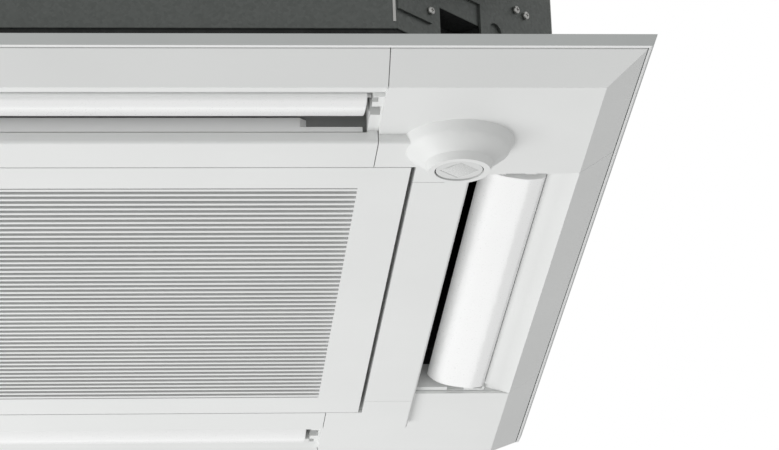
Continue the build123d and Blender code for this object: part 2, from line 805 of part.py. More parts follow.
def skirt_notch(end):
    # lets the latch's tongue out through the door's skirt
    half = half_grille - grille_margin
    half_slot = latch_width / 2 + latch_play
    return block(-half - 1, -half + 4, end * latch_y - half_slot, end * latch_y + half_slot, skin_top_z,
                 skin_top_z + tongue_thickness + 1)


def make_latch(end):
    # drawn unlatched; sliding it outwards takes its tongue into the frame
    knob_x0 = -half_grille + latch_inset + latch_travel + 0.5
    half_knob = latch_width / 2 - knob_border - 0.4
    knob = block(knob_x0, knob_x0 + knob_length, end * latch_y - half_knob, end * latch_y + half_knob,
                 plateau_z, skin_top_z + 0.2)
    middle = knob_x0 + knob_length / 2
    grip = block(middle - 1, middle + 1, end * latch_y - grip_half_length, end * latch_y + grip_half_length,
                 plateau_z - 1.2, plateau_z + 0.5)
    plate = block(-half_grille + 1.5, knob_x0 + knob_length - 1, end * latch_y - latch_width / 2,
                  end * latch_y + latch_width / 2, skin_top_z + 0.15, skin_top_z + tongue_thickness)
    return knob + grip + plate


def make_hinge_pins():
    reach = ear_width / 2 + hinge_side_play + lug_width
    return [rod_y(hinge_x, hinge_z, hinge_pin_radius, end * hinge_y - reach, end * hinge_y + reach)
            for end in (-1, 1)]


def make_filter_frame():
    z0 = bars_top_z
    z1 = z0 + filter_thickness
    frame = slab(filter_half, z0, z1) - slab(filter_half - filter_bar, z0 - 1, z1 + 1)
    cross = filter_half - filter_bar + 1
    for offset in (-cross / 3, cross / 3):
        frame = frame + block(offset - 2, offset + 2, -cross, cross, z0 + 2, z1)
        frame = frame + block(-cross, cross, offset - 2, offset + 2, z0 + 2, z1)
    return frame


def make_filter_mesh():
    z0 = bars_top_z + 0.4
    return slab(filter_half - filter_bar, z0, z0 + filter_mesh_thickness)


# ---- sensor ----

def make_sensor_head():
    z0 = boss_bottom_z + sensor_recess
    disc = rod(sensor_x, sensor_y, sensor_radius, z0, z0 + sensor_thickness)
    shaft = rod(sensor_x, sensor_y, sensor_shaft_radius, z0 + sensor_thickness - 0.5, sensor_motor_z + 8)
    head = disc + shaft
    return head - Pos(sensor_x, sensor_y, z0) * Rot(0, 0, 45) * Box(sensor_window, sensor_window, 1.6)


def make_sensor_window():
    # two facets that meet in a low ridge
    z0 = boss_bottom_z + sensor_recess
    half = sensor_window / 2 - 0.1
    pane = section_prism([(-half, z0 + 0.8), (half, z0 + 0.8), (half, z0 + 0.2), (0, z0 - 0.7),
                          (-half, z0 + 0.2)], -half, half)
    return Pos(sensor_x, sensor_y, 0) * Rot(0, 0, 45) * pane


def make_sensor_motor():
    top = sensor_motor_z + sensor_motor_height
    can = rod(sensor_x, sensor_y, sensor_motor_radius, sensor_motor_z, top)
    half_width = sensor_wing_width / 2
    wings = block(sensor_x - sensor_wing_reach, sensor_x + sensor_wing_reach, sensor_y - half_width,
                  sensor_y + half_width, sensor_motor_z, sensor_motor_z + sensor_wing_thickness)
    bore = rod(sensor_x, sensor_y, sensor_shaft_radius + pin_clearance, sensor_motor_z - 1, top - 5)
    return can + wings - bore


# ---- body ----

def make_panel_seal():
    outer = body_octagon(half_body - seal_outer, 0, pan_bottom_z)
    return outer - body_octagon(half_body - seal_inner, -1, pan_bottom_z + 1)


def pan_duct_hole(z0, z1, grow=0.0):
    half = half_pan_duct + grow
    return block(-half, half, -pan_duct_outer - grow, -pan_duct_inner + grow, z0, z1)


def corner_pocket_cut(depth):
    u0, u1, top = corner_pocket
    face = -chamfer_distance
    return block(u0, u1, face - 5, face + depth, body_bottom - 1, top)


def make_drain_pan():
    side = steel + pan_side_gap
    outer = body_octagon(side, pan_bottom_z, pan_top_z)
    pan = outer - body_octagon(side + pan_wall, pan_bottom_z + pan_wall, pan_top_z + 1)
    shelf = body_octagon(side + 1, trough_z, trough_z + pan_wall)
    pan = pan + shelf
    pan = pan - slab(pan_opening, pan_bottom_z - 1, pan_top_z + 1)
    lip = slab(pan_opening + pan_wall, pan_bottom_z, pan_top_z - 12)
    pan = pan + (lip - slab(pan_opening, pan_bottom_z - 1, pan_top_z))
    for index in range(4):
        pan = pan + turned(pan_duct_hole(pan_bottom_z, pan_top_z, pan_wall), index)
        corner = block(corner_pocket[0] - 4, corner_pocket[1] + 4, -chamfer_distance + side + 1,
                       -chamfer_distance + corner_pocket_depth + 4, pan_bottom_z, corner_pocket[2] + 4)
        pan = pan + on_chamfer(corner, index)
    for index in range(4):
        pan = pan - turned(pan_duct_hole(pan_bottom_z - 1, pan_top_z + 1), index)
        pan = pan - on_chamfer(corner_pocket_cut(corner_pocket_depth), index)
        screw_hole = rod(screw_x, screw_y, panel_screw_radius + 0.1, pan_bottom_z - 1,
                         pan_bottom_z + pan_wall + 1)
        pan = pan - turned(screw_hole, index)
    return pan & outer


def make_bell():
    # a quarter-round funnel of even wall, joined to a square plate
    flare = bell_throat_top_z - bell_plate_z
    mouth = bell_throat + flare
    wall = panel_wall

    def arc(radius):
        start = (mouth, 0, bell_throat_top_z - radius)
        half_way = radius * math.sin(math.pi / 4)
        middle = (mouth - half_way, 0, bell_throat_top_z - half_way)
        end = (mouth - radius, 0, bell_throat_top_z)
        return start, middle, end

    large = arc(flare)
    small = arc(flare - wall)
    outline = [ThreePointArc(*large), Line(large[2], small[2]), ThreePointArc(*small),
               Line(small[0], large[0])]
    funnel = revolve(make_face(Wire(outline)), Axis.Z)
    plate = slab(bell_half, bell_plate_z, bell_plate_z + wall)
    plate = plate - rod(0, 0, mouth, bell_plate_z - 1, bell_plate_z + wall + 1)
    skirt = slab(bell_half, pan_bottom_z - wall, bell_plate_z + 1)
    flange = slab(bell_half + bell_flange, pan_bottom_z - wall, pan_bottom_z)
    hollow = slab(bell_half - wall, pan_bottom_z - wall - 1, bell_plate_z)
    return plate + funnel + (skirt + flange - hollow - rod(0, 0, mouth, bell_plate_z - 1, bell_plate_z + 2))


def make_blade(index):
    # a backward-curved blade: an arc swept from inside the eye to the rim
    inner = fan_eye_radius - blade_overlap
    outer = fan_radius - blade_tip_gap
    middle = (inner + outer) / 2 + 2
    sweep = math.radians(blade_sweep)
    bow = 0.42 * sweep

    def arc(grow):
        # a blade runs mostly along Y, so its wall is set off along X
        return [(inner - grow, 0), (middle * math.cos(bow) - grow, middle * math.sin(bow)),
                (outer * math.cos(sweep) - grow, outer * math.sin(sweep))]

    face = arc(0)
    back = arc(blade_thickness)
    outline = Wire([ThreePointArc(*face), Line(face[2], back[2]), ThreePointArc(*back[::-1]),
                    Line(back[0], face[0])])
    low = fan_bottom_z + 12
    blade = Pos(0, 0, low) * extrude(make_face(outline), amount=fan_plate_z + 1 - low, dir=(0, 0, 1))
    return Rot(0, 0, index * 360 / blade_count) * blade


def make_fan():
    back_plate = rod(0, 0, fan_radius, fan_plate_z, fan_plate_z + fan_wall)
    hub = rod(0, 0, hub_radius, fan_plate_z - hub_height, fan_plate_z + 1)
    neck_z = fan_bottom_z + fan_neck_rise
    ring_z = neck_z + fan_cone_rise
    ring_outline = Polyline((fan_eye_radius, 0, fan_bottom_z), (fan_eye_radius + fan_wall, 0, fan_bottom_z),
                            (fan_eye_radius + fan_wall, 0, neck_z), (fan_radius, 0, ring_z),
                            (fan_radius, 0, ring_z + fan_wall), (fan_eye_radius, 0, neck_z + fan_wall),
                            close=True)
    ring = revolve(make_face(ring_outline), Axis.Z)
    half_wall = fan_wall / 2
    blade_space = Polyline((0, 0, neck_z + half_wall), (fan_eye_radius + half_wall, 0, neck_z + half_wall),
                           (fan_radius, 0, ring_z + half_wall), (fan_radius, 0, fan_plate_z + half_wall),
                           (0, 0, fan_plate_z + half_wall), close=True)
    space = revolve(make_face(blade_space), Axis.Z)
    fan = back_plate + hub + ring
    for index in range(blade_count):
        fan = fan + (make_blade(index) & space)
    return fan - rod(0, 0, shaft_radius, fan_plate_z - hub_height - 10, fan_plate_z + 10)


def make_fan_shaft():
    low = fan_plate_z - hub_height
    shaft = rod(0, 0, shaft_radius, low - shaft_nut_height - 6, fan_motor_bottom_z + 40)
    nut = extrude(RegularPolygon(shaft_nut_radius, 6), amount=shaft_nut_height, dir=(0, 0, 1))
    return shaft + Pos(0, 0, low - shaft_nut_height) * nut


def make_fan_motor():
    top = body_top - steel - motor_leg_height
    can = rod(0, 0, fan_motor_radius, fan_motor_bottom_z + 4, top)
    can = chamfer(can.edges().filter_by(GeomType.CIRCLE), 4)
    motor = can + rod(0, 0, motor_nose_radius, fan_motor_bottom_z, fan_motor_bottom_z + 6)
    return motor - rod(0, 0, shaft_radius + pin_clearance, fan_motor_bottom_z - 1, fan_motor_bottom_z + 42)


def make_motor_legs():
    legs = []
    top = body_top - steel
    z0 = top - motor_leg_height
    half_width = motor_leg_width / 2
    for index in range(4):
        arm = block(fan_motor_radius - motor_leg_lap, motor_leg_reach, -half_width, half_width, z0,
                    z0 + motor_leg_thickness)
        foot = block(motor_leg_reach - motor_leg_foot, motor_leg_reach, -half_width, half_width, z0, top)
        legs.append(Rot(0, 0, 45 + 90 * index) * (arm + foot))
    return legs


# ---- heat exchanger ----

def coil_path(half, z):
    # runs round the coil and leaves the far left corner open
    gap = coil_open_corner
    points = [(-half, gap, z), (-half, -half, z), (half, -half, z), (half, half, z), (-gap, half, z)]
    return FilletPolyline(*points, radius=coil_bend)


def tube_half(row):
    return coil_inner + coil_depth * (row + 0.5) / tube_rows


def tube_z(level):
    pitch = (coil_top_z - coil_bottom_z) / tube_levels
    return coil_bottom_z + pitch * (level + 0.5)


def make_coil_tubes():
    tubes = []
    for row in range(tube_rows):
        for level in range(tube_levels):
            path = coil_path(tube_half(row), tube_z(level))
            start = Plane(path @ 0, z_dir=path % 0)
            tubes.append(sweep(start * (Circle(tube_radius) - Circle(tube_radius - tube_wall)), path=path))
    return tubes


def make_coil_fins():
    fins = []
    straight = coil_inner - coil_bend
    count = int(2 * straight / fin_pitch) + 1
    end_x = coil_open_corner - 8
    for side in range(4):
        for index in range(count):
            x = (index - (count - 1) / 2) * fin_pitch
            at_gap = (side == 3 and x < -end_x) or (side == 2 and x > end_x)
            if at_gap:
                continue
            fin = block(x - fin_thickness / 2, x + fin_thickness / 2, -coil_outer, -coil_inner,
                        coil_bottom_z, coil_top_z)
            fins.append(turned(fin, side))
    return fins


def make_coil_ends():
    low = coil_bottom_z - 3
    left = block(-coil_outer - 2, -coil_inner + 2, coil_open_corner - 3, coil_open_corner, low, coil_top_z)
    far = block(-coil_open_corner, -coil_open_corner + 3, coil_inner - 2, coil_outer + 2, low, coil_top_z)
    return [left, far]


# ---- sheet metal ----

def body_plate(x0, x1, face):
    # a flat plate between two corners of the octagon; its mitred ends meet the next plates
    inside = -face + steel
    outline = [(x0, -face), (x1, -face), (x1 - plate_mitre, inside), (x0 + plate_mitre, inside)]
    return plan_prism(outline, body_bottom, body_top - steel)


def make_side_plate(side):
    plate = turned(body_plate(-body_corner, body_corner, half_body), side)
    if sides[side] != "left":
        return plate
    y0, y1, z0, z1 = window
    plate = plate - block(-half_body - 5, -half_body + 5, y0, y1, z0, z1)
    plate = plate - rod_x(drain_place[0], drain_place[1], drain_radius + 2, -half_body - 5, -half_body + 5)
    gland_hole = gland_radius + gland_play
    return plate - rod_x(gland_place[0], gland_place[1], gland_hole, -half_body - 5, -half_body + 5)


def make_corner_plates():
    half_chamfer = corner_cut / math.sqrt(2)
    plates = []
    for corner in range(4):
        plate = body_plate(-half_chamfer, half_chamfer, chamfer_distance) - corner_pocket_cut(steel + 1)
        plates.append(on_chamfer(plate, corner))
    return plates


def make_top_plate():
    plate = body_octagon(0, body_top - steel, body_top)
    bead = rod(0, 0, top_bead_radius, body_top - steel, body_top + top_bead_rise)
    return plate + (bead - rod(0, 0, top_bead_radius - top_bead_width, body_top - steel - 1, body_top + 4))


def make_insulation():
    z0 = pan_top_z + insulation_gap
    z1 = body_top - steel
    inner_x = -half_body + 2 * foam + 4
    lining = body_octagon(steel, z0, z1) - body_octagon(steel + foam, z0 - 1, z1 + 1)
    y0, y1, low, high = window
    lining = lining - block(-half_body - 5, inner_x, y0 - 5, y1 + 5, low - 6, high + 6)
    lining = lining - rod_x(drain_place[0], drain_place[1], drain_radius + 4, -half_body - 5, inner_x)
    return lining - rod_x(gland_place[0], gland_place[1], gland_radius + 2.7, -half_body - 5, inner_x)


def make_bracket(corner):
    face = -chamfer_distance
    front = face - bracket_sheet
    top = bracket_height + bracket_top
    u0, u1 = bracket_reach
    back = block(u0, u1, front, face, bracket_plate_bottom_z, top)
    tab_x0 = u0 - tab_overhang
    tab = block(tab_x0, tab_x0 + tab_width, front, face, tab_bottom_z, bracket_plate_bottom_z + 1)
    lug = block(u1 - bracket_lug_width, u1, front, face, body_bottom + lug_bottom_rise,
                bracket_plate_bottom_z + 1)
    u, z, radius = bracket_hole
    hole = Pos(u, face, z) * Rot(90, 0, 0) * Cylinder(radius, 20)
    foot = block(-foot_half_width, foot_half_width, face - foot_reach, face, bracket_height,
                 bracket_height + bracket_sheet)
    bracket = back + tab + lug - hole + foot
    for side in (-1, 1):
        x0 = side * foot_half_width
        x1 = side * (foot_half_width - bracket_sheet)
        outline = [(face, bracket_height + 1), (face - foot_reach, bracket_height + 1),
                   (face - foot_reach, bracket_height + 8), (face, top - 5)]
        bracket = bracket + section_prism(outline, min(x0, x1), max(x0, x1))
    bracket = on_chamfer(bracket, corner)
    slot_face = SlotOverall(suspension_slot_length, suspension_slot_width)
    slot = extrude(slot_face, amount=bracket_sheet + 2, dir=(0, 0, 1))
    slots = []
    for x in (-suspension_x / 2, suspension_x / 2):
        for y in (-suspension_y / 2, suspension_y / 2):
            slots.append(Pos(x, y, bracket_height - 1) * slot)
    return bracket - slots


def make_bracket_screws():
    screws = []
    face = -chamfer_distance - bracket_sheet
    for corner in range(4):
        for u, z in bracket_screws:
            head = Pos(u, face - screw_head / 2, z) * Rot(90, 0, 0) * Cylinder(screw_radius, screw_head)
            screws.append(on_chamfer(head, corner))
    return screws


# ---- drain, pipes and electrics ----

def make_pump():
    volute_top = pump_bottom_z + volute_height
    bearing_top = volute_top + pump_neck_height
    can_z = bearing_top + 3
    can_top = can_z + pump_can_height
    volute = rod(pump_x, pump_y, volute_radius, pump_bottom_z, volute_top)
    neck = rod(pump_x, pump_y, pump_neck_radius, volute_top - 1, can_z + 1)
    can = rod(pump_x, pump_y, pump_can_radius, can_z, can_top)
    stay = block(pump_x - 5, pump_x + 5, pump_y + 8, pump_y + 12, can_top - 13, body_top - steel)
    chamber = rod(pump_x, pump_y, volute_radius - pump_wall, pump_bottom_z - 1, volute_top - 5)
    bore = rod(pump_x, pump_y, pump_shaft_radius + pin_clearance, pump_bottom_z, bearing_top)
    return can + neck + volute + stay - chamber - bore


def make_pump_impeller():
    z0 = pump_bottom_z + impeller_gap
    disc = rod(pump_x, pump_y, impeller_radius, z0, z0 + 2)
    impeller = disc + rod(pump_x, pump_y, pump_shaft_radius, z0 + 1, z0 + volute_height + 4)
    for index in range(4):
        blade = block(2, impeller_radius - 0.5, -0.8, 0.8, z0 + 1.5, z0 + 2 + impeller_blade_height)
        impeller = impeller + Pos(pump_x, pump_y, 0) * Rot(0, 0, 90 * index) * blade
    return impeller


def make_float_switch():
    # a stem with a stop under the float, on an arm from the pump
    arm_z = float_bottom_z + float_arm_rise
    stem = rod(float_x, float_y, float_stem_radius, float_bottom_z - 1, arm_z + 2)
    stop = rod(float_x, float_y, 2 * float_stem_radius, trough_z + pan_wall, float_bottom_z - 1)
    arm = block(pump_x, float_x + 6, float_y - 6, float_y + 6, arm_z, arm_z + 3)
    return stem + stop + arm - rod(pump_x, pump_y, pump_can_radius + 0.2, arm_z - 1, arm_z + 4)


def make_float():
    top = float_bottom_z + float_height
    ring = rod(float_x, float_y, float_radius, float_bottom_z, top)
    return ring - rod(float_x, float_y, float_stem_radius + 4 * pin_clearance, float_bottom_z - 1, top + 1)


def make_drain_spigot():
    y, z = drain_place
    tube = rod_x(y, z, drain_radius, -pipe_end, -half_body + 12)
    flange = rod_x(y, z, drain_radius + drain_flange, -half_body - 3, -half_body)
    return tube + flange - rod_x(y, z, drain_radius - drain_wall, -pipe_end - 1, -half_body + 8)


def nut_seat():
    # where the unions end, inside their nuts
    return -pipe_end + nut_neck


def make_pipe(radius, place):
    # a copper pipe with its flare union brazed on
    y, z = place
    seat = nut_seat()
    tube = rod_x(y, z, radius, seat + 4, -coil_outer)
    union = rod_x(y, z, radius + union_wall, seat + union_wall, seat + union_length)
    cone = Pos(seat + union_wall / 2, y, z) * Rot(0, 90, 0) * Cone(radius, radius + union_wall, union_wall)
    bore = rod_x(y, z, radius - pipe_wall, seat - 1, -coil_outer - 20)
    return tube + union + cone - bore


def make_flare_nuts():
    nuts = []
    for radius, place in ((liquid_radius, liquid_place), (gas_radius, gas_place)):
        y, z = place
        thread_radius = radius + union_wall + nut_play
        length = nut_neck + nut_overlap
        hexagon = Plane.YZ * RegularPolygon(thread_radius + nut_wall, 6, major_radius=False)
        body = Pos(-pipe_end, y, z) * extrude(hexagon, amount=length, dir=(1, 0, 0))
        thread = rod_x(y, z, thread_radius, nut_seat(), -pipe_end + length + 1)
        nuts.append(body - thread - rod_x(y, z, radius + pipe_hole_play, -pipe_end - 1, nut_seat() + 1))
    return nuts


def make_pipe_plate():
    y0, y1, z0, z1 = window
    plate = block(-half_body - steel, -half_body, y0 - plate_margin, y1 + plate_margin, z0 - plate_margin,
                  z1 + plate_margin)
    for radius, place in ((liquid_radius, liquid_place), (gas_radius, gas_place)):
        plate = plate - rod_x(place[0], place[1], radius + pipe_hole_play, -half_body - 5, -half_body + 5)
    return plate


def make_cable_gland():
    y, z = gland_place
    nut_x = -half_body - gland_nut_length
    body = rod_x(y, z, gland_radius, nut_x, -half_body + 10)
    hexagon = Plane.YZ * RegularPolygon(gland_nut_radius, 6)
    nut = Pos(nut_x, y, z) * extrude(hexagon, amount=gland_nut_length, dir=(1, 0, 0))
    dome = rod_x(y, z, gland_dome_radius, -half_body - gland_dome_length, nut_x + 1)
    return body + nut + dome - rod_x(y, z, gland_bore, -half_body - gland_dome_length - 2, -half_body + 12)


def make_control_box():
    outside = block(-box_x, box_x, box_y0, box_y1, box_z0 + steel, bell_plate_z)
    return outside - block(-box_x + steel, box_x - steel, box_y0 + steel, box_y1 - steel, box_z0,
                           bell_plate_z - steel)


def make_control_cover():
    return block(-box_x, box_x, box_y0, box_y1, box_z0, box_z0 + steel)


def make_circuit_board():
    # the board hangs on four posts, with its tall parts under it
    roof = bell_plate_z - steel
    top = roof - board_standoff
    x0 = -box_x + board_margin
    x1 = box_x - terminal_length - 3 * board_margin
    y0 = box_y0 + 6
    y1 = box_y1 - 6
    board = block(x0, x1, y0, y1, top - board_thickness, top)
    low = top - board_thickness + 0.5
    for index in range(4):
        board = board + rod(x0 + 22 + capacitor_pitch * index, y0 + 12, capacitor_radius,
                            low - capacitor_height, low)
        relay_x = x0 + 12 + relay_pitch * index
        board = board + block(relay_x, relay_x + relay_length, y1 - 8 - relay_width, y1 - 8,
                              low - relay_height, low)
    for x in (x0 + 6, x1 - 8):
        for y in (y0 + 5, y1 - 5):
            board = board + rod(x, y, 2, top - 0.6, roof)
    return board


def make_terminal_block():
    roof = bell_plate_z - steel
    x1 = box_x - 12
    x0 = x1 - terminal_length
    y0 = box_y0 + 16
    y1 = box_y1 - 16
    low = roof - terminal_height
    base = block(x0, x1, y0, y1, low, roof)
    for index in range(5):
        x = x0 + 9 + terminal_pitch * index
        base = base - rod(x, (y0 + y1) / 2, 3.4, low - 1, low + 5)
        base = base - block(x - 5.4, x - 4.2, y0 - 1, y1 + 1, low - 1, low + 3)
    return base


def main():
    os.makedirs("parts", exist_ok=True)
    write("panel_rim", make_panel_rim())
    write("panel_frame", make_panel_frame())
    for index, name in enumerate(corners):
        write(f"corner_cover_{name}", make_corner_cover(index))
        write(f"hanging_bracket_{name}", make_bracket(index))
    vane = make_vane()
    vane_motor = make_vane_motor()
    for index, name in enumerate(sides):
        write(f"vane_{name}", turned(vane, index))
        write(f"vane_motor_{name}", turned(vane_motor, index))
        write(f"side_plate_{name}", make_side_plate(index))
    write("panel_screws", Compound(make_panel_screws()))
    write("intake_grille", make_grille())
    write("grille_hinge_pins", Compound(make_hinge_pins()))
    write("grille_latch_near", make_latch(-1))
    write("grille_latch_far", make_latch(1))
    write("filter_frame", make_filter_frame())
    write("filter_mesh", make_filter_mesh())
    write("sensor_head", make_sensor_head())
    write("sensor_window", make_sensor_window())
    write("sensor_motor", make_sensor_motor())
    write("panel_seal", make_panel_seal())
    write("drain_pan", make_drain_pan())
    write("bellmouth", make_bell())
    write("turbo_fan", make_fan())
    write("fan_shaft", make_fan_shaft())
    write("fan_motor", make_fan_motor())
    write("motor_legs", Compound(make_motor_legs()))
    write("coil_tubes", Compound(make_coil_tubes()))
    write("coil_fins", Compound(make_coil_fins()))
    write("coil_end_plates", Compound(make_coil_ends()))
    write("corner_plates", Compound(make_corner_plates()))
    write("top_plate", make_top_plate())
    write("body_insulation", make_insulation())
    write("bracket_screws", Compound(make_bracket_screws()))
    write("drain_pump", make_pump())
    write("pump_impeller", make_pump_impeller())
    write("float_switch", make_float_switch())
    write("float", make_float())
    write("drain_spigot", make_drain_spigot())
    write("liquid_pipe", make_pipe(liquid_radius, liquid_place))
    write("gas_pipe", make_pipe(gas_radius, gas_place))
    write("flare_nuts", Compound(make_flare_nuts()))
    write("pipe_plate", make_pipe_plate())
    write("cable_gland", make_cable_gland())
    write("control_box", make_control_box())
    write("control_box_cover", make_control_cover())
    write("circuit_board", make_circuit_board())
    write("terminal_block", make_terminal_block())


main()
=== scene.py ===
import json
import math

import bpy
from mathutils import Matrix, Vector


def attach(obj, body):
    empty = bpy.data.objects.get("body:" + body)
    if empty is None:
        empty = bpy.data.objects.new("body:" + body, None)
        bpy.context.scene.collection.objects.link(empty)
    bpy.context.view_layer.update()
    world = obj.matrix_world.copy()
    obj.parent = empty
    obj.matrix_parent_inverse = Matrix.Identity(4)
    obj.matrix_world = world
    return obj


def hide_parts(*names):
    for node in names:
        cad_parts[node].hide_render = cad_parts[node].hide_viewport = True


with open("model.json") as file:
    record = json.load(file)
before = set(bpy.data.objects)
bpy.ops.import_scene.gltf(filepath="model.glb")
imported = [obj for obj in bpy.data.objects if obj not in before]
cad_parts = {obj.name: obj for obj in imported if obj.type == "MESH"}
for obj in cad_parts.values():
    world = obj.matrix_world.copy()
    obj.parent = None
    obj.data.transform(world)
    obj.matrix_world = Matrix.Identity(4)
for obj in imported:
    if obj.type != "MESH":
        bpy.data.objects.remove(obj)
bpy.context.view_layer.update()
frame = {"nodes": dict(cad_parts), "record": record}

nodes = frame["nodes"]
slotOf = {part["node"]: part["material_slot"] for part in frame["record"]["subparts"]}
bodyOf = {node: body for body, group in frame["record"]["behaviour"]["bodies"].items() for node in group}
print("frame loaded:", len(nodes), "parts of the cassette")

# metres; the ceiling face is 120 mm below the hanging brackets' underside, where the frame has its origin
viewPoint = {
    "place": (0.00327, -3.1895, -1.3848),
    "turn": 5.415,      # degrees to the right of +Y
    "rise": 22.07,      # degrees above the horizon
    "roll": -2.177,
    "lens": 180.2,      # millimetres, as is the sensor
    "sensor": 36.0,
    "farLimit": 200,
}


def makeCamera(spec):
    turn, rise, roll = (math.radians(spec[key]) for key in ("turn", "rise", "roll"))
    ahead = Vector((math.sin(turn) * math.cos(rise), math.cos(turn) * math.cos(rise), math.sin(rise)))
    side = Vector((math.cos(turn), -math.sin(turn), 0))
    above = side.cross(ahead)
    rolledSide = math.cos(roll) * side + math.sin(roll) * above
    rolledAbove = -math.sin(roll) * side + math.cos(roll) * above
    lens = bpy.data.cameras.new("camera")
    lens.lens = spec["lens"]
    lens.sensor_width = spec["sensor"]
    lens.clip_end = spec["farLimit"]
    camera = bpy.data.objects.new("camera", lens)
    bpy.context.scene.collection.objects.link(camera)
    turned = Matrix((rolledSide, rolledAbove, -ahead)).transposed().to_4x4()
    camera.matrix_world = Matrix.Translation(spec["place"]) @ turned
    bpy.context.scene.camera = camera


makeCamera(viewPoint)
print("camera set")

studio = {
    "floorHeight": -15.0,
    "floorSize": 400.0,
    "floorColour": (0.86, 0.86, 0.86, 1),
    "floorRough": 0.9,
    "light": (1, 1, 1, 1),
    "ambient": 0.56,        # strength of the light from all round
    "backdrop": 1.0,        # strength of what the camera sees behind the unit
    "aim": (0.0, 0.0, -0.13),
}
lamps = {
    "lampBelow": {"place": (-3.0, 0.8, -3.3), "size": 3.0, "power": 128.0},
    "lampFar": {"place": (0.0, 5.0, -2.1), "size": 2.4, "power": 16.0},
    "lampFront": {"place": (-0.6, -4.2, -2.0), "size": 1.5, "power": 16.0},
}


def makeFloor(spec):
    bpy.ops.object.select_all(action="DESELECT")
    bpy.ops.mesh.primitive_plane_add(size=spec["floorSize"], location=(0, 0, spec["floorHeight"]))
    floor = bpy.context.object
    floor.name = "studioFloor"
    floorPaint = bpy.data.materials.new("floorPaint")
    floorPaint.use_nodes = True
    shader = floorPaint.node_tree.nodes["Principled BSDF"]
    shader.inputs["Base Color"].default_value = spec["floorColour"]
    shader.inputs["Roughness"].default_value = spec["floorRough"]
    floor.data.materials.append(floorPaint)


def makeBackdrop(spec):
    # the camera sees a brighter white than the one that lights the unit
    world = bpy.data.worlds.new("studioWorld")
    bpy.context.scene.world = world
    world.use_nodes = True
    tree = world.node_tree
    tree.nodes.clear()
    out = tree.nodes.new("ShaderNodeOutputWorld")
    mix = tree.nodes.new("ShaderNodeMixShader")
    path = tree.nodes.new("ShaderNodeLightPath")
    tree.links.new(path.outputs["Is Camera Ray"], mix.inputs["Fac"])
    for place, strength in ((1, spec["ambient"]), (2, spec["backdrop"])):
        glow = tree.nodes.new("ShaderNodeBackground")
        glow.inputs["Color"].default_value = spec["light"]
        glow.inputs["Strength"].default_value = strength
        tree.links.new(glow.outputs[0], mix.inputs[place])
    tree.links.new(mix.outputs[0], out.inputs["Surface"])
    bpy.context.scene.view_settings.view_transform = "Standard"


def makeLamp(name, spec, aim):
    light = bpy.data.lights.new(name, "AREA")
    light.shape = "SQUARE"
    light.size = spec["size"]
    light.energy = spec["power"]
    lamp = bpy.data.objects.new(name, light)
    bpy.context.scene.collection.objects.link(lamp)
    place = Vector(spec["place"])
    lamp.location = place
    lamp.rotation_euler = (Vector(aim) - place).to_track_quat("-Z", "Y").to_euler()


makeFloor(studio)
makeBackdrop(studio)
for lampName, lampSpec in lamps.items():
    makeLamp(lampName, lampSpec, studio["aim"])
print("studio set")

# base: the mean colour; spread: how far it varies; cloud: size of the soft patches per metre;
# grain: fineness of the moulded or sprayed texture per metre; bump: its depth in metres
finishes = {
    "panelWhite": {"base": (0.81, 0.82, 0.81), "spread": 0.015, "cloud": 7, "rough": (0.42, 0.50),
                   "grain": 1500, "bump": 0.00003},
    "rimSilver": {"base": (0.56, 0.58, 0.57), "spread": 0.02, "cloud": 9, "rough": (0.34, 0.42),
                  "grain": 1800, "bump": 0.00002},
    "vaneWhite": {"base": (0.90, 0.905, 0.90), "spread": 0.01, "cloud": 5, "rough": (0.27, 0.31),
                  "grain": 700, "bump": 0.000001, "coat": 0.2},
    # the bead's own white; also laid on the outlets' ledges as painted light, brighter than the panel's
    # white
    "beadWhiteAndLedgeLight": {"base": (0.93, 0.935, 0.93), "spread": 0.01, "cloud": 7, "rough": (0.30, 0.38),
                  "grain": 1500, "bump": 0.00001},
    "sensorWhite": {"base": (0.68, 0.69, 0.68), "spread": 0.01, "cloud": 20, "rough": (0.28, 0.34),
                    "grain": 1500, "bump": 0.00001},
    "sensorPane": {"base": (0.62, 0.63, 0.62), "spread": 0.02, "cloud": 40, "rough": (0.22, 0.30),
                   "grain": 900, "bump": 0.00002},
    # painted shade: a darker grey laid on the ducts' white walls where they lie in shadow
    "ductPaintedShade": {"base": (0.26, 0.265, 0.26), "spread": 0.04, "cloud": 20, "rough": (0.60, 0.72),
                   "grain": 900, "bump": 0.00005},
    "greyPlastic": {"base": (0.46, 0.47, 0.46), "spread": 0.03, "cloud": 12, "rough": (0.45, 0.58),
                    "grain": 1300, "bump": 0.00004},
    "fanPlastic": {"base": (0.055, 0.058, 0.058), "spread": 0.12, "cloud": 10, "rough": (0.40, 0.55),
                   "grain": 1100, "bump": 0.00004},
    "blackFoam": {"base": (0.028, 0.030, 0.029), "spread": 0.30, "cloud": 60, "rough": (0.85, 0.97),
                  "grain": 420, "bump": 0.0006},
    "zincPlate": {"base": (0.62, 0.62, 0.60), "spread": 0.08, "cloud": 70, "rough": (0.30, 0.45),
                  "grain": 900, "bump": 0.00003, "metal": 1.0},
    "copperTube": {"base": (0.76, 0.37, 0.24), "spread": 0.14, "cloud": 24, "rough": (0.24, 0.40),
                   "grain": 600, "bump": 0.00003, "metal": 1.0},
    "turnedBrass": {"base": (0.78, 0.60, 0.28), "spread": 0.08, "cloud": 40, "rough": (0.22, 0.34),
                    "grain": 900, "bump": 0.00003, "metal": 1.0},
    "finAluminium": {"base": (0.78, 0.79, 0.80), "spread": 0.06, "cloud": 30, "rough": (0.28, 0.42),
                     "grain": 800, "bump": 0.00003, "metal": 1.0},
    "boardGreen": {"base": (0.03, 0.20, 0.08), "spread": 0.25, "cloud": 120, "rough": (0.30, 0.42),
                   "grain": 500, "bump": 0.00006},
}
# a noise stays near its middle, so colour and roughness run over the middle part of its values
noiseSpan = {"cloud": (0.32, 0.68), "grain": (0.3, 0.7)}
noiseDetail = {"cloud": 4.0, "grain": 2.0}
coatRough = 0.08


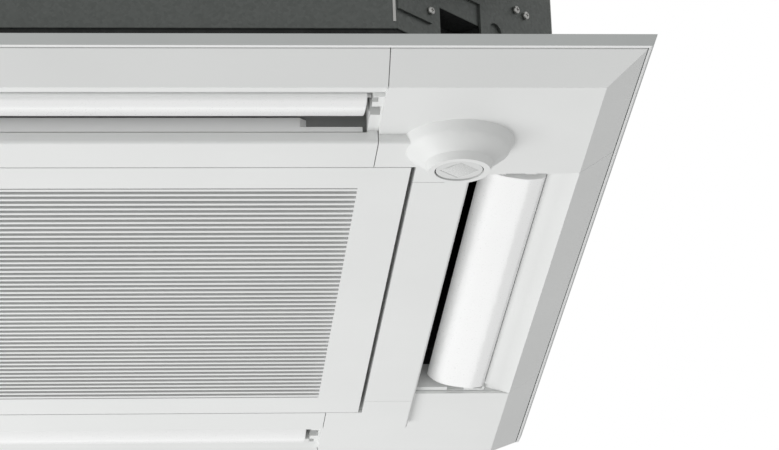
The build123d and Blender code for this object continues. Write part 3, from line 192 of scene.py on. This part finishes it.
def shadeOf(colour, factor=1):
    return tuple(min(1.0, part * factor) for part in colour) + (1,)


def startMaterial(name):
    material = bpy.data.materials.new(name)
    material.use_nodes = True
    tree = material.node_tree
    place = tree.nodes.new("ShaderNodeTexCoord")
    return material, tree, tree.nodes["Principled BSDF"], place.outputs["Object"]


def addNoise(tree, place, scale, detail):
    noise = tree.nodes.new("ShaderNodeTexNoise")
    noise.inputs["Scale"].default_value = scale
    noise.inputs["Detail"].default_value = detail
    tree.links.new(place, noise.inputs["Vector"])
    return noise.outputs["Fac"]


def addRange(tree, value, source, target):
    spread = tree.nodes.new("ShaderNodeMapRange")
    for name, number in zip(("From Min", "From Max", "To Min", "To Max"), (*source, *target)):
        spread.inputs[name].default_value = number
    tree.links.new(value, spread.inputs["Value"])
    return spread.outputs["Result"]


def addRamp(tree, value, span, colours):
    ramp = tree.nodes.new("ShaderNodeValToRGB")
    for stop, position, colour in zip(ramp.color_ramp.elements, span, colours):
        stop.position = position
        stop.color = colour
    tree.links.new(value, ramp.inputs["Fac"])
    return ramp.outputs["Color"]


def addMath(tree, operation, *values):
    step = tree.nodes.new("ShaderNodeMath")
    step.operation = operation
    for socket, value in zip(step.inputs, values):
        if isinstance(value, float):
            socket.default_value = value
        else:
            tree.links.new(value, socket)
    return step.outputs[0]


def addSplit(tree, place):
    split = tree.nodes.new("ShaderNodeSeparateXYZ")
    tree.links.new(place, split.inputs["Vector"])
    return split.outputs


def addBump(tree, shader, height, depth):
    bump = tree.nodes.new("ShaderNodeBump")
    bump.inputs["Strength"].default_value = 1.0
    bump.inputs["Distance"].default_value = depth
    tree.links.new(height, bump.inputs["Height"])
    tree.links.new(bump.outputs["Normal"], shader.inputs["Normal"])


def makeFinish(name, spec):
    # moulded, sprayed or drawn: soft patches of colour, a fine grain and a roughness that varies with it
    material, tree, shader, place = startMaterial(name)
    cloud = addNoise(tree, place, spec["cloud"], noiseDetail["cloud"])
    grain = addNoise(tree, place, spec["grain"], noiseDetail["grain"])
    colours = [shadeOf(spec["base"], 1 - spec["spread"]), shadeOf(spec["base"], 1 + spec["spread"])]
    tree.links.new(addRamp(tree, cloud, noiseSpan["cloud"], colours), shader.inputs["Base Color"])
    tree.links.new(addRange(tree, grain, noiseSpan["grain"], spec["rough"]), shader.inputs["Roughness"])
    addBump(tree, shader, grain, spec["bump"])
    shader.inputs["Metallic"].default_value = spec.get("metal", 0.0)
    shader.inputs["Coat Weight"].default_value = spec.get("coat", 0.0)
    shader.inputs["Coat Roughness"].default_value = coatRough
    return material


# the zinc crystals' greys, both set far darker than bare zinc as painted shade on the body above the panel
steelLookInShade = {
    "dark": (0.130, 0.141, 0.133),
    "light": (0.154, 0.165, 0.157),
    "spangle": 420,         # crystals per metre
    "ripple": 260,          # rolling waves per metre
    "rough": (0.40, 0.50),
    "bump": 0.00002,
    "metal": 0.65,
}


def makeGalvanised(spec):
    # zinc crystals: angular cells of slightly different grey
    material, tree, shader, place = startMaterial("galvanisedSteelInShade")
    cells = tree.nodes.new("ShaderNodeTexVoronoi")
    cells.inputs["Scale"].default_value = spec["spangle"]
    tree.links.new(place, cells.inputs["Vector"])
    shade = tree.nodes.new("ShaderNodeSeparateColor")
    tree.links.new(cells.outputs["Color"], shade.inputs["Color"])
    colours = [shadeOf(spec["dark"]), shadeOf(spec["light"])]
    rough = addRange(tree, shade.outputs["Green"], noiseSpan["grain"], spec["rough"])
    tree.links.new(addRamp(tree, shade.outputs["Red"], (0.0, 1.0), colours), shader.inputs["Base Color"])
    tree.links.new(rough, shader.inputs["Roughness"])
    addBump(tree, shader, addNoise(tree, place, spec["ripple"], noiseDetail["cloud"]), spec["bump"])
    shader.inputs["Metallic"].default_value = spec["metal"]
    return material


meshLook = {
    "thread": (0.10, 0.11, 0.105),
    "hole": (0.02, 0.022, 0.022),
    "pitch": 0.0016,        # metres between threads
    "edge": (0.35, 0.75),   # where a thread ends and a hole begins, as parts of the waves' height
    "rough": 0.7,
    "bump": -0.0004,
}


def makeFilterCloth(spec):
    # threads run both ways; two sine waves multiplied give the holes between them
    material, tree, shader, place = startMaterial("filterCloth")
    split = addSplit(tree, place)
    waves = []
    for axis in ("X", "Y"):
        steps = addMath(tree, "MULTIPLY", split[axis], math.pi / spec["pitch"])
        waves.append(addMath(tree, "ABSOLUTE", addMath(tree, "SINE", steps)))
    holes = addMath(tree, "MULTIPLY", *waves)
    colours = [shadeOf(spec["thread"]), shadeOf(spec["hole"])]
    tree.links.new(addRamp(tree, holes, spec["edge"], colours), shader.inputs["Base Color"])
    shader.inputs["Roughness"].default_value = spec["rough"]
    addBump(tree, shader, holes, spec["bump"])
    return material


materials = {name: makeFinish(name, spec) for name, spec in finishes.items()}
materials["galvanisedSteelInShade"] = makeGalvanised(steelLookInShade)
materials["filterCloth"] = makeFilterCloth(meshLook)

finishOfSlot = {
    "silver_rim": "rimSilver", "panel_white": "panelWhite", "vane_white": "vaneWhite",
    "sensor_white": "sensorWhite", "sensor_window": "sensorPane", "grey_plastic": "greyPlastic",
    "fan_plastic": "fanPlastic", "filter_mesh": "filterCloth", "black_foam": "blackFoam",
    "zinc": "zincPlate", "galvanised": "galvanisedSteelInShade", "copper": "copperTube", "brass": "turnedBrass",
    "aluminium": "finAluminium", "board_green": "boardGreen",
}


def paintWhole(piece, material):
    piece.data.materials.clear()
    piece.data.materials.append(material)


for shownNode, shownSlot in slotOf.items():
    paintWhole(nodes[shownNode], materials[finishOfSlot[shownSlot]])
print("finishes made:", len(materials))

# metres: corners closer than this are joined; degrees: faces nearer than flat to one plane are made
# one, and faces that meet at less than smooth are shaded as one
meshCare = {"merge": 0.00001, "flat": 0.3, "smooth": 30}


def selectOnly(*pieces):
    bpy.ops.object.select_all(action="DESELECT")
    for piece in pieces:
        piece.select_set(True)
    bpy.context.view_layer.objects.active = pieces[0]


def applyModifier(piece, kind, **settings):
    modifier = piece.modifiers.new(kind.lower(), kind)
    for key, value in settings.items():
        setattr(modifier, key, value)
    selectOnly(piece)
    bpy.ops.object.modifier_apply(modifier=modifier.name)


def roundEdges(piece, spec):
    # width: the rounding of the edges in metres; angle: edges sharper than this are rounded
    applyModifier(piece, "BEVEL", width=spec["width"], segments=spec["segments"], limit_method="ANGLE",
                  angle_limit=math.radians(spec["angle"]))


def smoothFaces(piece):
    selectOnly(piece)
    bpy.ops.object.shade_smooth_by_angle(angle=math.radians(meshCare["smooth"]))


def copyOfNode(node, name):
    # the part's own mesh, with its triangles' corners joined and its flat faces made whole
    mesh = nodes[node].data.copy()
    mesh.transform(nodes[node].matrix_world)
    piece = bpy.data.objects.new(name, mesh)
    bpy.context.scene.collection.objects.link(piece)
    selectOnly(piece)
    bpy.ops.object.mode_set(mode="EDIT")
    bpy.ops.mesh.select_all(action="SELECT")
    bpy.ops.mesh.remove_doubles(threshold=meshCare["merge"])
    bpy.ops.mesh.dissolve_limited(angle_limit=math.radians(meshCare["flat"]))
    bpy.ops.object.mode_set(mode="OBJECT")
    return piece


def joinPieces(pieces, name, material):
    selectOnly(*pieces)
    bpy.ops.object.join()
    joined = bpy.context.object
    joined.name = name
    smoothFaces(joined)
    paintWhole(joined, material)
    return joined


def standFor(piece, node):
    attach(piece, bodyOf[node])
    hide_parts(node)


cornerNames = ("near_right", "far_right", "far_left", "near_left")
sideNames = ("near", "right", "far", "left")
softParts = {
    "panel": {"nodes": ["panel_frame", "panel_rim"], "width": 0.0004, "segments": 2, "angle": 25},
    "covers": {"nodes": ["corner_cover_" + name for name in cornerNames], "width": 0.0005, "segments": 2,
               "angle": 25},
    "vanes": {"nodes": ["vane_" + name for name in sideNames], "width": 0.0008, "segments": 2, "angle": 35},
    "grille": {"nodes": ["intake_grille"], "width": 0.0005, "segments": 1, "angle": 35},
    "latches": {"nodes": ["grille_latch_near", "grille_latch_far"], "width": 0.0004, "segments": 2,
                "angle": 35},
    "sensor": {"nodes": ["sensor_head", "sensor_window"], "width": 0.0003, "segments": 2, "angle": 20},
    "sheets": {"nodes": ["hanging_bracket_" + name for name in cornerNames], "width": 0.0006, "segments": 2,
               "angle": 40},
    "body": {"nodes": ["side_plate_" + name for name in sideNames] + ["corner_plates", "top_plate"],
             "width": 0.0004, "segments": 1, "angle": 40},
}


def softCopy(node, spec):
    piece = copyOfNode(node, node + "Soft")
    roundEdges(piece, spec)
    smoothFaces(piece)
    applyModifier(piece, "WEIGHTED_NORMAL", keep_sharp=True)
    standFor(piece, node)


for group in softParts.values():
    for softNode in group["nodes"]:
        softCopy(softNode, group)
print("edges softened:", sum(len(group["nodes"]) for group in softParts.values()), "parts")

# the white bead is the rim's lowest part; metres above its foot
beadLine = {"height": 0.0008}


def paintBead(spec):
    rim = bpy.data.objects["panel_rimSoft"]
    low = min(corner.co.z for corner in rim.data.vertices)
    rim.data.materials.append(materials["beadWhiteAndLedgeLight"])
    for face in rim.data.polygons:
        if face.center.z < low + spec["height"]:
            face.material_index = 1


paintBead(beadLine)
print("rim bead painted")

# the ducts' long walls above the sills are painted a darker grey as painted shade, the ledges a brighter and
# glossier white whose brightness is painted light, and the end walls stay as the panel; metres from the
# unit's middle
ductPaintedShade = {"outer": 0.4135, "inner": 0.3405, "ledge": (0.3415, 0.3470), "end": 0.2570, "low": -0.1423}


def paintDuctShade(spec):
    panel = bpy.data.objects["panel_frameSoft"]
    panel.data.materials.append(materials["ductPaintedShade"])
    panel.data.materials.append(materials["beadWhiteAndLedgeLight"])
    for face in panel.data.polygons:
        along, across = sorted((abs(face.center.x), abs(face.center.y)))
        onLedge = spec["ledge"][0] < across < spec["ledge"][1]
        inDuct = spec["inner"] < across < spec["outer"] and along < spec["end"]
        if inDuct and face.center.z > spec["low"]:
            # duct walls take the grey as painted shade, ledges the brighter white as painted light
            face.material_index = 2 if onLedge else 1


paintDuctShade(ductPaintedShade)
print("duct shade painted")

# painted shade in the slots: the door's white is dimmer the higher a wall lies above its face
slotShade = {"depth": 0.007, "deep": 0.42}


def shadeSlots(spec):
    door = bpy.data.objects["intake_grilleSoft"]
    low = min(corner.co.z for corner in door.data.vertices)
    material = materials["panelWhite"].copy()
    material.name = "grilleWhite"
    tree = material.node_tree
    shader = tree.nodes["Principled BSDF"]
    colour = shader.inputs["Base Color"].links[0].from_socket
    place = tree.nodes.new("ShaderNodeTexCoord").outputs["Object"]
    fall = addRange(tree, addSplit(tree, place)["Z"], (low, low + spec["depth"]), (1.0, spec["deep"]))
    dim = tree.nodes.new("ShaderNodeVectorMath")
    dim.operation = "SCALE"
    tree.links.new(colour, dim.inputs[0])
    tree.links.new(fall, dim.inputs["Scale"])
    tree.links.new(dim.outputs[0], shader.inputs["Base Color"])
    paintWhole(door, material)


shadeSlots(slotShade)
print("grille slots shaded")

# pan heads with a cross recess for the brackets' screws; metres
screwHead = {
    "radius": 0.0034,
    "height": 0.003,
    "sides": 32,
    "round": {"width": 0.0012, "segments": 3, "angle": 60},
    "crossLength": 0.0036,
    "crossWidth": 0.0008,
    "crossDepth": 0.0012,
}


def makeScrewHead(spec):
    bpy.ops.object.select_all(action="DESELECT")
    bpy.ops.mesh.primitive_cylinder_add(vertices=spec["sides"], radius=spec["radius"], depth=spec["height"])
    head = bpy.context.object
    roundEdges(head, spec["round"])
    cross = (spec["crossLength"], spec["crossWidth"], 2 * spec["crossDepth"])
    for turn in (0, 90):
        bpy.ops.object.select_all(action="DESELECT")
        bpy.ops.mesh.primitive_cube_add(size=1, location=(0, 0, spec["height"] / 2),
                                        rotation=(0, 0, math.radians(turn)), scale=cross)
        cutter = bpy.context.object
        applyModifier(head, "BOOLEAN", operation="DIFFERENCE", object=cutter, solver="EXACT")
        bpy.data.objects.remove(cutter)
    return head


def makeBracketScrews(spec):
    # one head at the middle of each plain screw, turned to face out of its corner
    copyOfNode("bracket_screws", "screwMarks")
    bpy.ops.object.mode_set(mode="EDIT")
    bpy.ops.mesh.separate(type="LOOSE")
    bpy.ops.object.mode_set(mode="OBJECT")
    marks = list(bpy.context.selected_objects)
    pattern = makeScrewHead(spec)
    heads = []
    for mark in marks:
        points = [corner.co for corner in mark.data.vertices]
        middle = sum(points, Vector()) / len(points)
        outward = Vector((math.copysign(1, middle.x), math.copysign(1, middle.y), 0))
        mesh = pattern.data.copy()
        mesh.transform(Matrix.Translation(middle) @ outward.to_track_quat("Z", "Y").to_matrix().to_4x4())
        head = bpy.data.objects.new("bracketScrew", mesh)
        bpy.context.scene.collection.objects.link(head)
        heads.append(head)
        bpy.data.objects.remove(mark)
    bpy.data.objects.remove(pattern)
    standFor(joinPieces(heads, "bracketScrewHeads", materials["zincPlate"]), "bracket_screws")


makeBracketScrews(screwHead)
print("bracket screws made")

# folded edges where the body's side plates end, in the bright zinc finish as a painted highlight on each
# corner; metres
cornerFoldHighlight = {
    "width": 0.0024,
    "thickness": 0.0008,
    "setback": 0.0020,
    "lowGap": 0.006,
    "highGap": 0.004,
    "round": {"width": 0.0003, "segments": 2, "angle": 60},
}


def makeCornerFoldHighlights(spec):
    plate = nodes["side_plate_near"]
    points = [plate.matrix_world @ corner.co for corner in plate.data.vertices]
    face = min(point.y for point in points)
    end = max(point.x for point in points)
    low = min(point.z for point in points) + spec["lowGap"]
    high = max(point.z for point in points) - spec["highGap"]
    shape = Matrix.Diagonal((spec["width"], spec["thickness"], high - low, 1))
    folds = []
    for quarter in range(4):
        spin = Matrix.Rotation(math.radians(90 * quarter), 4, "Z")
        for side in (-1, 1):
            middle = Vector((side * (end - spec["setback"]), face - spec["thickness"] / 2, (low + high) / 2))
            bpy.ops.object.select_all(action="DESELECT")
            bpy.ops.mesh.primitive_cube_add(size=1)
            fold = bpy.context.object
            fold.data.transform(spin @ Matrix.Translation(middle) @ shape)
            roundEdges(fold, spec["round"])
            folds.append(fold)
    # the zinc finish, brighter than the body's grey, paints the highlight on the corners
    joined = joinPieces(folds, "cornerFoldHighlights", materials["zincPlate"])
    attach(joined, "unit")


makeCornerFoldHighlights(cornerFoldHighlight)
print("corner folds made")
